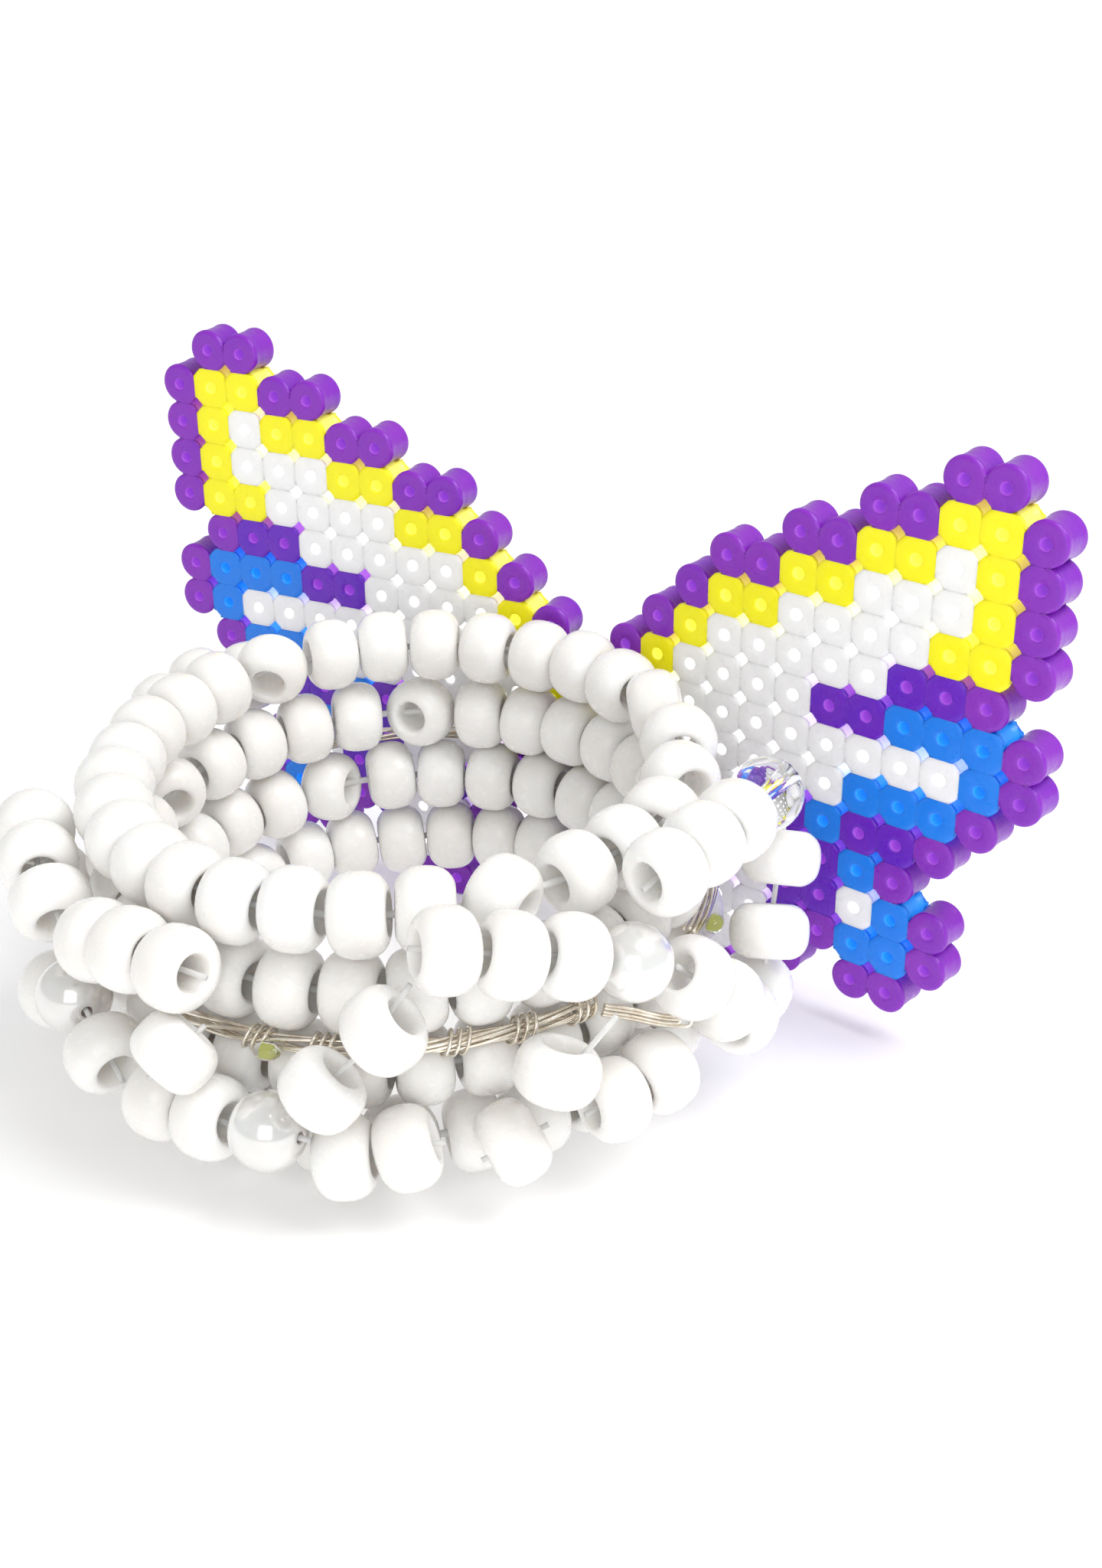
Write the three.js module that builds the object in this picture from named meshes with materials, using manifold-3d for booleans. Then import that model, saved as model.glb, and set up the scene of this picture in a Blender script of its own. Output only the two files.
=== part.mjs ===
// A beaded cuff that carries a butterfly: two layers of white pony beads on elastic cord, string-light wire
// woven between the layers, two fused-bead wing panels and the string light's battery case behind them.
// Millimetres, +Z up, +X along the wing span, +Y towards the back of the wings. The piece stands on the tips
// of its wings and on the front edge of its cuff, so wings and cuff lean forward a little.
import * as THREE from "three";
import { mergeVertices } from "three/addons/utils/BufferGeometryUtils.js";
import Module from "manifold-3d";

const wasm = await Module();
wasm.setup();

// ---- Driving dimensions -------------------------------------------------------------------------------

const clearance = 0.3; // between neighbouring pieces
const runningClearance = 0.4; // radial, between a spinning bead's bore and its cord
const snug = 0.15; // between a piece and the one it is tied to
const cordDiameter = 0.8;

const ponyDiameter = 8.9;
const ponyLength = 6.05;
const ponyBeadGap = 0.2; // between neighbours on a cord
const ponyShoulder = 0.28; // share of a pony bead's length from its middle to its shoulder
const cordEnd = 0.6; // of cord showing beyond the last bead
const pearlDiameter = 8.3;
const crystalDiameter = 8.2;

const ringBeads = 32; // beads in each ring of the inner layer
const ringRows = 4;
// The beads that sit crosswise in each ring, from the lowest ring up, counted round from the front.
const turnedInRows = [[2, 10, 22, 27], [8, 12, 20, 27], [9, 18, 24, 29], [4, 9, 12, 21]];
const cuffCentreX = -1;
const cuffBottom = 9.15; // underside of the cuff above the wing tips, measured along the cuff's own axis

const fusedPitch = 5; // spacing of the small fused beads
const panelThickness = 4.6;
const wingLean = THREE.MathUtils.degToRad(4.8); // forward lean of the butterfly
const wingBend = THREE.MathUtils.degToRad(6.6); // forward bend of each wing from the butterfly's body
const hingeGap = 0.9; // between the body column and each wing

const bundleDiameter = 1.8; // string-light wire, folded several times
const leadDiameter = 0.8; // from the bundle to the battery case
const wrapWire = 0.4;
const ledLength = 3;
const ledDiameter = 1.9;

const caseWidth = 24;
const caseHeight = 29;
const caseDepth = 9.4;
const caseWall = 1.2;
const caseCorner = 3;
const caseFoot = 5.6; // underside of the case above the wing tips
const padThickness = 1;
const padHeight = 3.6;
const cellDiameter = 20;
const cellThickness = 3.2;
const coverThickness = 1.2;
const coverGripWidth = 10;
const coverGripPitch = 2.5;
const switchWidth = 3.6;
const switchDepth = 2;
const switchHeight = 3;
const switchTravel = 2.5;

// ---- Sizes that follow from them ------------------------------------------------------------------------

const ponyRadius = ponyDiameter / 2;
const cordRadius = cordDiameter / 2;
const beadPitch = ponyLength + ponyBeadGap;
const ringRadius = (ringBeads * beadPitch) / (2 * Math.PI);
const rowPitch = ponyDiameter + clearance;
const lowestRow = cuffBottom + ponyRadius;
const topRow = lowestRow + (ringRows - 1) * rowPitch;
// The back of the cuff comes up to the front of the butterfly without reaching past it.
const cuffSeat = 0.68;
const cuffCentreY = cuffSeat - ringRadius - ponyRadius;
// The cuff leans forward until the front of its lowest ring is level with the wing tips.
const frontReach = ringRadius - cuffCentreY;
const cuffLean =
  Math.acos(ponyRadius / Math.hypot(frontReach, lowestRow)) - Math.atan2(frontReach, lowestRow);

// ---- Materials ------------------------------------------------------------------------------------------

const finish = (color, roughness, metalness = 0) =>
  new THREE.MeshStandardMaterial({ color, roughness, metalness });
const materials = {
  pony: () => finish(0xf6f5f2, 0.35),
  pearl: () => finish(0xf3efe9, 0.18, 0.2),
  crystal: () => finish(0xdfe8f2, 0.08),
  fused: () => finish(0x7b2db0, 0.4),
  wire: () => finish(0xc9b79c, 0.3, 0.9),
  led: () => finish(0xe8eeb0, 0.15),
  cord: () => finish(0xf2f2f2, 0.3),
  casing: () => finish(0xf2f2f0, 0.45),
  foam: () => finish(0xe9e9e6, 0.9),
  steel: () => finish(0xb9bcc0, 0.3, 0.9),
};

// ---- Solids ---------------------------------------------------------------------------------------------

function toSolid(geometry) {
  const bare = geometry.index ? geometry.clone() : geometry;
  bare.deleteAttribute("normal");
  bare.deleteAttribute("uv");
  const merged = mergeVertices(bare, 1e-4);
  return new wasm.Manifold(
    new wasm.Mesh({
      numProp: 3,
      vertProperties: merged.attributes.position.array,
      triVerts: new Uint32Array(merged.index.array),
    }),
  );
}

function toGeometry(solid) {
  const mesh = solid.getMesh();
  return new THREE.BufferGeometry()
    .setAttribute("position", new THREE.BufferAttribute(mesh.vertProperties, 3))
    .setIndex(new THREE.BufferAttribute(mesh.triVerts, 1));
}

const joined = (geometries) =>
  toGeometry(geometries.map(toSolid).reduce((whole, next) => whole.add(next)));
const cut = (geometry, ...tools) =>
  toGeometry(tools.map(toSolid).reduce((whole, tool) => whole.subtract(tool), toSolid(geometry)));

function add(group, name, geometry, material) {
  const mesh = new THREE.Mesh(geometry, material);
  mesh.name = name;
  group.add(mesh);
  return mesh;
}

// A closed skin through rings of vertices, one ring a section: the form of beads and cord on one string. A
// section with a depth is that deep outwards instead of round.
function skin(sections, closed, sides = 8) {
  const points = [];
  const faces = [];
  for (const { at, along, outward, radius, depth = radius } of sections) {
    const across = new THREE.Vector3().crossVectors(along, outward).normalize();
    const out = new THREE.Vector3().crossVectors(across, along).normalize();
    for (let side = 0; side < sides; side++) {
      const turn = (2 * Math.PI * (side + 0.5)) / sides;
      const point = at.clone();
      point.addScaledVector(out, depth * Math.cos(turn));
      point.addScaledVector(across, radius * Math.sin(turn));
      points.push(point);
    }
  }
  const bands = closed ? sections.length : sections.length - 1;
  for (let band = 0; band < bands; band++) {
    const here = band * sides;
    const next = ((band + 1) % sections.length) * sides;
    for (let side = 0; side < sides; side++) {
      const after = (side + 1) % sides;
      faces.push(here + side, here + after, next + side);
      faces.push(here + after, next + after, next + side);
    }
  }
  if (!closed) {
    const last = (sections.length - 1) * sides;
    for (let side = 1; side < sides - 1; side++) {
      faces.push(0, side + 1, side);
      faces.push(last, last + side, last + side + 1);
    }
  }
  return new THREE.BufferGeometry().setFromPoints(points).setIndex(faces);
}

// ---- The cuff -------------------------------------------------------------------------------------------

const cuffAxis = new THREE.Vector3(cuffCentreX, cuffCentreY, 0);
const outwardAt = (degrees) => {
  const angle = THREE.MathUtils.degToRad(degrees);
  return new THREE.Vector3(Math.sin(angle), -Math.cos(angle), 0);
};
// A place on the cuff: degrees round from the front towards +X, height up the cuff, radius from its axis.
const cuffPoint = (degrees, height, radius) =>
  outwardAt(degrees).multiplyScalar(radius).add(cuffAxis).setZ(height);

// The sections of one barrel-shaped pony bead, with the mouth of its bore closed on the cord.
function barrel(at, along, outward, mouth = cordRadius) {
  const section = (share, radius) => ({
    at: at.clone().addScaledVector(along, share * ponyLength),
    along,
    outward,
    radius,
  });
  return [
    section(-0.5, mouth),
    section(-ponyShoulder, ponyRadius),
    section(ponyShoulder, ponyRadius),
    section(0.5, mouth),
  ];
}

// The sections of a bead turned crosswise, its bore facing out of the cuff, between two necks of the cord.
function turnedBead(at, along, outward) {
  const section = (share, radius, depth) => ({
    at: at.clone().addScaledVector(along, share * ponyDiameter),
    along,
    outward,
    radius,
    depth,
  });
  const shoulder = ponyRadius * Math.SQRT1_2;
  return [
    section(-0.5, cordRadius, cordRadius),
    section(-Math.SQRT1_2 / 2, shoulder, ponyLength / 2),
    section(0, ponyRadius, ponyLength / 2),
    section(Math.SQRT1_2 / 2, shoulder, ponyLength / 2),
    section(0.5, cordRadius, cordRadius),
  ];
}

// One ring of the inner layer. The necks between the beads are the elastic cord. A turned bead takes the
// place of two others, the one of its number and the next.
function ringOfBeads(height, turnedBeads) {
  const sections = [];
  for (let bead = 0; bead < ringBeads; bead++) {
    const isTurned = turnedBeads.includes(bead);
    const degrees = (360 * (bead + (isTurned ? 1 : 0.5))) / ringBeads;
    const outward = outwardAt(degrees);
    const along = new THREE.Vector3(-outward.y, outward.x, 0);
    const at = cuffPoint(degrees, height, ringRadius);
    if (isTurned) {
      sections.push(...turnedBead(at, along, outward));
      bead++;
    } else {
      sections.push(...barrel(at, along, outward).slice(0, 3));
    }
  }
  return skin(sections, true);
}

// The outer layer: short cords of beads that rise and fall round the cuff. Each bead is given by its place,
// [degrees, height, stand-off], where the stand-off is how far it rides out over its neighbours. A name in
// the row stands for a bead that turns on that cord. A single bead leans out of the level and dips into the
// cuff by these many degrees. A tail is a place that an end of the cord reaches for.
const outerCords = {
  top_far_left: { row: [[-113, 37], [-104, 38], [-95, 37]] },
  rise_far_left: { row: [[-87, 28.5]], lean: -60 },
  foot_far_left: { row: [[-80, 19.5], [-71, 18.5], [-62, 19.5]] },
  rise_left: { row: [[-54, 28.5]], lean: 60 },
  top_left: { row: [[-47, 38, 0.6], [-38, 37.6, 0.6], [-29, 36, 0.6]] },
  foot_left: { row: [[-36, 22, 0.2], "pearl_left", [-14, 22.6, 0.2]] },
  top_front_left: { row: [[-14, 36.2], [-5, 37.8], [4, 38]] },
  rise_front_left: { row: [[4.5, 29.2, 2.2]], lean: 50, dip: 50 },
  foot_front_left: { row: [[-2.5, 20.4], [6.5, 20.2], "pearl_front"] },
  rise_front: { row: [[25.5, 27.6, 1.6], [34.5, 34.6, 1.6]], tails: [null, [38.5, 39, 0.4]] },
  top_front_right: { row: [[43.5, 42.3], [52.5, 40.6], [61.5, 38.2], "pearl_right"] },
  foot_front: { row: [[27, 17.6], [36, 18.6]] },
  foot_front_right: { row: [[51.5, 17.4]], lean: 20 },
  rise_front_right: { row: [[58, 26, 1]], lean: 65, tails: [null, [65, 32.5, 3.5]] },
  foot_right: { row: [[68, 18.6], [77, 19]] },
  fall_right: { row: [[82.5, 29.6, 0.6], [90.5, 23.6, 0.6]] },
  top_right: { row: [[78, 43.4], [87, 43.8], [96, 43], "crystal_bead"] },
  foot_far_right: { row: [[100, 16.8], [109, 16.4]] },
  rise_far_right: { row: [[106, 25.6, 2], [111, 33, 2]] },
};

// Beads that turn on those cords: their place on the cuff and their size.
const spinners = {
  pearl_left: { place: [-25, 25.6, 0.2], diameter: pearlDiameter, material: materials.pearl },
  pearl_front: { place: [16.6, 21, 0.6], diameter: pearlDiameter, material: materials.pearl },
  pearl_right: { place: [71.4, 35, 0.4], diameter: pearlDiameter, material: materials.pearl },
  crystal_bead: { place: [106.5, 42.6, 1], diameter: crystalDiameter, material: materials.crystal },
};

// The bundle lies in the valley between the second and third rings, and clears their beads.
const bundleHeight = topRow - 1.5 * rowPitch;
const bundleReach = ponyRadius + bundleDiameter / 2 + clearance;
const bundleRadius = ringRadius + Math.sqrt(bundleReach ** 2 - (rowPitch / 2) ** 2);

// An outer bead settles on the nearest inner rings and on the wire bundle between them.
function settledRadius(height) {
  const over = (radius, reach, drop) => radius + Math.sqrt(Math.max(reach ** 2 - drop ** 2, 0));
  const rings = Array.from({ length: ringRows }, (_, row) =>
    over(ringRadius, ponyDiameter + clearance, height - lowestRow - row * rowPitch),
  );
  return Math.max(...rings, over(bundleRadius, bundleReach, height - bundleHeight));
}
const outerPoint = ([degrees, height, standOff = 0]) =>
  cuffPoint(degrees, height, settledRadius(height) + standOff);

// The places along a cord as points, with the cord's direction and the outward direction at each.
function cordStations({ row, lean = 0, dip = 0 }) {
  const places = row.map((entry) => (typeof entry === "string" ? spinners[entry].place : entry));
  return places.map((place, index) => {
    const outward = outwardAt(place[0]);
    const along = new THREE.Vector3(-outward.y, outward.x, 0);
    if (places.length === 1) {
      const tilt = THREE.MathUtils.degToRad(lean);
      along.multiplyScalar(Math.cos(tilt)).setZ(Math.sin(tilt));
      along.addScaledVector(outward, -Math.tan(THREE.MathUtils.degToRad(dip))).normalize();
    } else {
      const before = outerPoint(places[Math.max(index - 1, 0)]);
      const after = outerPoint(places[Math.min(index + 1, places.length - 1)]);
      along.copy(after).sub(before).normalize();
    }
    return { at: outerPoint(place), along, outward, spinner: typeof row[index] === "string" };
  });
}

function cordOfBeads(cord) {
  const stations = cordStations(cord);
  const bare = ({ at, along, outward }, reach) => ({
    at: at.clone().addScaledVector(along, reach),
    along,
    outward,
    radius: cordRadius,
  });
  const halfSpinner = pearlDiameter / 2 + cordRadius / 2;
  const sections = stations.flatMap((station) =>
    station.spinner
      ? [bare(station, -halfSpinner), bare(station, halfSpinner)]
      : barrel(station.at, station.along, station.outward),
  );
  const [startTail, endTail] = cord.tails ?? [null, null];
  const end = (station, tail, way) => {
    const reach = way * ((station.spinner ? halfSpinner : ponyLength / 2) + cordEnd);
    return tail ? { ...bare(station, reach), at: outerPoint(tail) } : bare(station, reach);
  };
  sections.unshift(end(stations[0], startTail, -1));
  sections.push(end(stations.at(-1), endTail, 1));
  return skin(sections, false);
}

// A round bead with a bore, centred on the origin with the bore along Z.
function roundBead(diameter) {
  const radius = diameter / 2;
  const bore = cordRadius + runningClearance;
  const mouth = Math.sqrt(radius ** 2 - bore ** 2);
  const profile = [new THREE.Vector2(bore, -mouth)];
  const steps = 6;
  for (let step = 1; step < steps; step++) {
    const angle = THREE.MathUtils.lerp(Math.asin(-mouth / radius), Math.asin(mouth / radius), step / steps);
    profile.push(new THREE.Vector2(radius * Math.cos(angle), radius * Math.sin(angle)));
  }
  profile.push(new THREE.Vector2(bore, mouth), new THREE.Vector2(bore, -mouth));
  return new THREE.LatheGeometry(profile, 12).rotateX(Math.PI / 2);
}

function buildCuff(stand) {
  const cuff = new THREE.Group();
  cuff.rotation.x = cuffLean;
  stand.add(cuff);
  for (let row = 0; row < ringRows; row++) {
    const ring = ringOfBeads(lowestRow + row * rowPitch, turnedInRows[row]);
    add(cuff, `inner_ring_${row + 1}`, ring, materials.pony());
  }
  for (const [name, cord] of Object.entries(outerCords)) {
    add(cuff, name, cordOfBeads(cord), materials.pony());
    const stations = cordStations(cord);
    cord.row.forEach((entry, index) => {
      if (typeof entry !== "string") return;
      const { diameter, material } = spinners[entry];
      const bead = add(cuff, entry, roundBead(diameter), material());
      bead.position.copy(stations[index].at);
      bead.quaternion.setFromUnitVectors(new THREE.Vector3(0, 0, 1), stations[index].along);
    });
  }
  return cuff;
}

// ---- String-light wire ----------------------------------------------------------------------------------

class CuffArc extends THREE.Curve {
  constructor(from, to) {
    super();
    Object.assign(this, { from, to });
  }
  getPoint(share, target = new THREE.Vector3()) {
    const degrees = THREE.MathUtils.lerp(this.from, this.to, share);
    return target.copy(cuffPoint(degrees, bundleHeight, bundleRadius));
  }
}

function roundSection(radius, sides = 8) {
  const shape = new THREE.Shape();
  for (let side = 0; side < sides; side++) {
    const turn = (2 * Math.PI * side) / sides;
    const x = radius * Math.cos(turn);
    const y = radius * Math.sin(turn);
    if (side === 0) shape.moveTo(x, y);
    else shape.lineTo(x, y);
  }
  return shape;
}

const tube = (curve, diameter, steps) =>
  new THREE.ExtrudeGeometry(roundSection(diameter / 2), { steps, extrudePath: curve, curveSegments: 1 });

// Degrees round the cuff. The front length ends in the folded loop that stands out of the cuff's right side.
const wireStep = 8;
const wireRuns = {
  light_wire_front: [-76, 70],
  light_wire_right: [97, 128],
  light_wire_back: [129.5, 282.5],
};
const foldedLoop = [[71.2, 26.6, -4.9], [75, 25.8, -3], [78.5, 24.9, -1], [81.2, 24.4, 0.4]];
// The wraps sit over the necks between the inner beads, counted in beads from the front.
const wraps = { wire_wrap_1: 1, wire_wrap_2: 2, wire_wrap_3: 4, wire_wrap_4: 5, wire_wrap_5: 6 };
const leds = { led_front: 14.5, led_right: 102, led_left: -68, led_back: 150 };

function buildWire(cuff) {
  for (const [name, [from, to]] of Object.entries(wireRuns)) {
    const steps = Math.ceil((to - from) / wireStep);
    add(cuff, name, tube(new CuffArc(from, to), bundleDiameter, steps), materials.wire());
  }
  const loopPath = new THREE.CatmullRomCurve3(foldedLoop.map(outerPoint));
  add(cuff, "light_wire_loop", tube(loopPath, bundleDiameter, 5), materials.wire());
  for (const [name, neck] of Object.entries(wraps)) {
    const degrees = (360 * neck) / ringBeads;
    const wrap = new THREE.TorusGeometry((bundleDiameter + wrapWire) / 2 + snug, wrapWire / 2, 4, 12);
    const mesh = add(cuff, name, wrap, materials.wire());
    mesh.position.copy(cuffPoint(degrees, bundleHeight, bundleRadius));
    const outward = outwardAt(degrees);
    mesh.quaternion.setFromUnitVectors(
      new THREE.Vector3(0, 0, 1),
      new THREE.Vector3(-outward.y, outward.x, 0),
    );
  }
  for (const [name, degrees] of Object.entries(leds)) {
    const drop = new THREE.SphereGeometry(ledDiameter / 2, 8, 6).scale(ledLength / ledDiameter, 1, 1);
    const mesh = add(cuff, name, drop, materials.led());
    const standOff = (bundleDiameter + ledDiameter) / 2 + snug;
    mesh.position.copy(cuffPoint(degrees, bundleHeight, bundleRadius + standOff));
    mesh.rotation.z = THREE.MathUtils.degToRad(degrees);
  }
}

// ---- The butterfly --------------------------------------------------------------------------------------

// The bead chart of one wing, from its top row down and from the body outwards. P purple, Y yellow, W white
// and B blue beads; a full stop is an empty peg.
const wingChart = [
  ".........PP.",
  ".......PPYYP",
  ".....PPYYWYP",
  "...PPYYWWWYP",
  "..PYYWWWWYYP",
  ".PYWWWWWPPP.",
  "PYWWWWPPBBBP",
  "YWWWWWWWWWBP",
  "YWWWWWWBBBP.",
  "YWWWWPBPPP..",
  "PPWWWPPBP...",
  "..PPWPPWBP..",
  "..PWWPPBBP..",
  "..PWWP.PP...",
  "...PP.......",
];
const bodyRows = [7, 10]; // the chart rows that the body column spans, first and last
const tieRows = { body_tie_upper: 8, body_tie_lower: 9 }; // each tie is below the bead of its row

// The beads are eight-sided and share their upright and level sides, which leaves the square gaps of a fused
// panel between them.
const waist = (fusedPitch / 2) * Math.tan(Math.PI / 8); // half a shared side
const rowHeight = (row) => (wingChart.length - row - 0.5) * fusedPitch;
const tieHeight = (row) => rowHeight(row) - fusedPitch / 2;

// One closed panel through the beads of a chart, each given by its column and row. The panel's columns are
// numbered to the right and its middle plane is y = 0.
function fusedPanel(beads) {
  const taken = new Set(beads.map(([column, row]) => `${column},${row}`));
  const points = [];
  const half = panelThickness / 2;
  const quad = (a, b, c, d) => points.push(a, b, c, a, c, d);
  for (const [column, row] of beads) {
    const corners = [];
    for (let corner = 0; corner < 8; corner++) {
      const turn = ((corner + 0.5) * Math.PI) / 4;
      const reach = Math.hypot(waist, fusedPitch / 2);
      const x = column * fusedPitch + reach * Math.cos(turn);
      const z = rowHeight(row) + reach * Math.sin(turn);
      corners.push([new THREE.Vector3(x, -half, z), new THREE.Vector3(x, half, z)]);
    }
    for (let corner = 1; corner < 7; corner++) {
      points.push(corners[0][0], corners[corner][0], corners[corner + 1][0]);
      points.push(corners[0][1], corners[corner + 1][1], corners[corner][1]);
    }
    // Sides in order: up-right, up, up-left, left, down-left, down, down-right, right.
    const neighbours = [null, [0, -1], null, [-1, 0], null, [0, 1], null, [1, 0]];
    neighbours.forEach((step, side) => {
      if (step && taken.has(`${column + step[0]},${row + step[1]}`)) return;
      const [front, back] = corners[side];
      const [frontNext, backNext] = corners[(side + 1) % 8];
      quad(front, back, backNext, frontNext);
    });
  }
  const bare = new THREE.BufferGeometry().setFromPoints(points);
  return mergeVertices(bare, 1e-3);
}

// The hinge line of a wing runs midway between the body column and the wing's first beads.
const hingeX = (fusedPitch + hingeGap) / 2;

function wingPanel(side) {
  const beads = wingChart.flatMap((line, row) =>
    [...line].flatMap((colour, column) => (colour === "." ? [] : [[side * column, row]])),
  );
  return fusedPanel(beads).translate((side * (fusedPitch + hingeGap)) / 2, 0, 0);
}

function buildButterfly(stand) {
  const butterfly = new THREE.Group();
  butterfly.rotation.x = wingLean;
  stand.add(butterfly);
  const column = [];
  for (let row = bodyRows[0]; row <= bodyRows[1]; row++) column.push([0, row]);
  add(butterfly, "butterfly_body", fusedPanel(column), materials.fused()).position.y = panelThickness / 2;
  for (const [name, side] of [["right_wing", 1], ["left_wing", -1]]) {
    const wing = add(butterfly, name, wingPanel(side), materials.fused());
    wing.position.set(side * hingeX, panelThickness / 2, 0);
    wing.rotation.z = -side * wingBend;
  }
  // Each tie is a loop of elastic cord that sits in a waist between two beads of the body column.
  const tieX = waist + cordRadius + snug;
  const tieY = panelThickness / 2 + cordRadius + snug;
  const bend = clearance;
  const stations = [
    [tieX, bend - tieY], [tieX, tieY - bend], [tieX - bend, tieY], [bend - tieX, tieY],
    [-tieX, tieY - bend], [-tieX, bend - tieY], [bend - tieX, -tieY], [tieX - bend, -tieY],
  ].map(([x, y]) => new THREE.Vector3(x, y, 0));
  const sections = stations.map((at, index) => {
    const before = stations.at(index - 1);
    const after = stations[(index + 1) % stations.length];
    const along = after.clone().sub(at).normalize().add(at.clone().sub(before).normalize()).normalize();
    return { at, along, outward: new THREE.Vector3(along.y, -along.x, 0), radius: cordRadius };
  });
  for (const [name, row] of Object.entries(tieRows)) {
    const tie = add(butterfly, name, skin(sections, true), materials.cord());
    tie.position.set(0, panelThickness / 2, tieHeight(row));
  }
  return butterfly;
}

// The lead leaves the underside of the case, passes under the body column and climbs between two beads of
// the second ring to the bundle.
const leadRoute = [
  [0, 9.6, 5.2], [0, 9.3, 3.4], [-0.4, 7.5, 2.4], [-0.7, 5.2, 3.6], [-1, 3.2, 7.2], [-1, 2, 11],
  [-1, 0.9, 14.5], [-1, -0.3, 18], [-1, -0.9, 20.5], [-1, -1.5, 22.8], [-1, -1.8, 25.8],
];

// ---- The battery case -----------------------------------------------------------------------------------

function plate(width, height, depth, corner) {
  const shape = new THREE.Shape();
  const x = width / 2;
  const z = height / 2;
  shape.moveTo(corner - x, -z);
  shape.lineTo(x - corner, -z);
  shape.absarc(x - corner, corner - z, corner, -Math.PI / 2, 0);
  shape.lineTo(x, z - corner);
  shape.absarc(x - corner, z - corner, corner, 0, Math.PI / 2);
  shape.lineTo(corner - x, z);
  shape.absarc(corner - x, z - corner, corner, Math.PI / 2, Math.PI);
  shape.lineTo(-x, corner - z);
  shape.absarc(corner - x, corner - z, corner, Math.PI, 1.5 * Math.PI);
  const solid = new THREE.ExtrudeGeometry(shape, { depth, bevelEnabled: false, curveSegments: 4 });
  return solid.rotateX(Math.PI / 2).translate(0, depth, 0);
}

const box = (width, depth, height, x, y, z) =>
  new THREE.BoxGeometry(width, depth, height).translate(x, y, z);

function buildCase(butterfly) {
  const battery = new THREE.Group();
  const caseFront = panelThickness + padThickness + 2 * clearance;
  battery.position.set(0, caseFront, caseFoot + caseHeight / 2);
  butterfly.add(battery);
  const shellDepth = caseDepth - coverThickness - clearance;
  const pocketWidth = cellDiameter + 2 * clearance;
  const cellZ = caseWall + pocketWidth / 2 - caseHeight / 2;
  const switchZ = (caseHeight - caseWall) / 2;
  const roomFloor = cellZ + pocketWidth / 2 + caseWall;
  const roomHeight = caseHeight / 2 - caseWall - roomFloor;
  const shell = cut(
    plate(caseWidth, caseHeight, shellDepth, caseCorner),
    box(pocketWidth, shellDepth, pocketWidth, 0, shellDepth / 2 + caseWall, cellZ),
    box(
      switchWidth + switchTravel + 2 * clearance,
      switchDepth + 2 * clearance,
      3 * caseWall,
      0,
      shellDepth / 2,
      switchZ,
    ),
    box(
      pocketWidth - caseCorner,
      shellDepth,
      roomHeight,
      0,
      shellDepth / 2 + caseWall,
      roomFloor + roomHeight / 2,
    ),
  );
  add(battery, "case_shell", shell, materials.casing());
  for (const cell of [0, 1]) {
    const disc = new THREE.CylinderGeometry(cellDiameter / 2, cellDiameter / 2, cellThickness, 24);
    const coin = add(battery, `coin_cell_${cell + 1}`, disc, materials.steel());
    const depth = caseWall + clearance / 2 + (cell + 0.5) * cellThickness + cell * (clearance / 2);
    coin.position.set(0, depth, cellZ);
  }
  const cover = joined([
    plate(caseWidth, caseHeight, coverThickness, caseCorner),
    ...[3, 4, 5].map((ridge) =>
      box(coverGripWidth, coverThickness, coverThickness, 0, coverThickness, ridge * coverGripPitch),
    ),
  ]);
  add(battery, "case_cover", cover, materials.casing()).position.y = shellDepth + clearance;
  const slider = box(switchWidth, switchDepth, switchHeight, 0, 0, 0);
  add(battery, "switch_slider", slider, materials.casing()).position.set(
    -switchTravel / 2,
    shellDepth / 2,
    switchZ,
  );
  const padY = panelThickness + clearance + padThickness / 2;
  // One pad lies between the ties and one above them.
  for (const pad of [0, 1]) {
    const shape = box(fusedPitch - 1, padThickness, padHeight, 0, 0, 0);
    const padZ = tieHeight(tieRows.body_tie_lower) + (pad + 0.5) * fusedPitch;
    add(butterfly, `foam_pad_${pad + 1}`, shape, materials.foam()).position.set(0, padY, padZ);
  }
  const leadCurve = new THREE.CatmullRomCurve3(leadRoute.map((point) => new THREE.Vector3(...point)));
  add(butterfly, "light_lead", tube(leadCurve, leadDiameter, 16), materials.wire());
}

// ---- Assembly -------------------------------------------------------------------------------------------

const stand = new THREE.Group();
const cuff = buildCuff(stand);
buildWire(cuff);
const butterfly = buildButterfly(stand);
buildCase(butterfly);

// The origin is the middle of the footprint, on the surface that the piece stands on.
const bounds = new THREE.Box3().setFromObject(stand, true);
const middle = bounds.getCenter(new THREE.Vector3());
stand.position.set(-middle.x, -middle.y, -bounds.min.z);

const part = new THREE.Group();
part.add(stand);

export default part;
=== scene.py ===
# A beaded cuff with a fused-bead butterfly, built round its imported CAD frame. Lengths are worked out in
# millimetres, in the cuff's and the butterfly's own frames, and become metres where a mesh is made.
import math
import random

import bpy
import numpy as np
from mathutils import Matrix, Vector


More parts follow.
